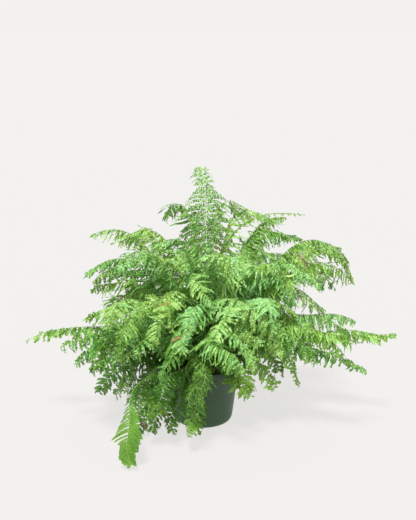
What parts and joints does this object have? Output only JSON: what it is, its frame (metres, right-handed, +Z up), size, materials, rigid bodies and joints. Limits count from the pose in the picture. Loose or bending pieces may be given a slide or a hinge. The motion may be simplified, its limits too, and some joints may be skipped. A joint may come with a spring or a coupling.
{
  "type": "potted fern",
  "caption": "Full, lacy Boston fern with arching fronds in a round dark green plastic nursery pot.",
  "frame": {"origin": "centre of the pot's flat base, on the surface it stands on", "axes": "+Z up along the pot's axis; -Y towards the viewer of the picture, whose right is +X"},
  "size_m": [0.7678, 0.5297, 0.536],
  "materials": {
    "pot_plastic": "satin",
    "potting_mix": "matte",
    "leaf": "satin"
  },
  "bodies": {
    "root": {"pot": "pot_plastic", "potting_mix": "potting_mix", "tuft_01": "leaf", "tuft_02": "leaf", "tuft_03": "leaf", "tuft_04": "leaf", "tuft_05": "leaf", "tuft_06": "leaf", "tuft_07": "leaf", "tuft_08": "leaf", "tuft_09": "leaf", "tuft_10": "leaf", "tuft_11": "leaf", "tuft_12": "leaf", "tuft_13": "leaf", "tuft_14": "leaf", "tuft_15": "leaf", "tuft_16": "leaf", "tuft_17": "leaf", "tuft_18": "leaf", "tuft_19": "leaf", "tuft_20": "leaf", "tuft_21": "leaf", "tuft_22": "leaf", "tuft_23": "leaf", "tuft_24": "leaf", "tuft_25": "leaf", "tuft_26": "leaf", "tuft_27": "leaf", "tuft_28": "leaf", "tuft_29": "leaf", "tuft_30": "leaf", "tuft_31": "leaf", "tuft_32": "leaf", "tuft_33": "leaf", "tuft_34": "leaf", "tuft_35": "leaf", "tuft_36": "leaf", "tuft_37": "leaf", "tuft_38": "leaf", "tuft_39": "leaf", "tuft_40": "leaf", "tuft_41": "leaf", "tuft_42": "leaf", "tuft_43": "leaf", "tuft_44": "leaf", "tuft_45": "leaf", "tuft_46": "leaf", "tuft_47": "leaf", "tuft_48": "leaf", "tuft_49": "leaf", "tuft_50": "leaf", "tuft_51": "leaf", "tuft_52": "leaf", "tuft_53": "leaf", "tuft_54": "leaf"}
  },
  "joints": []
}
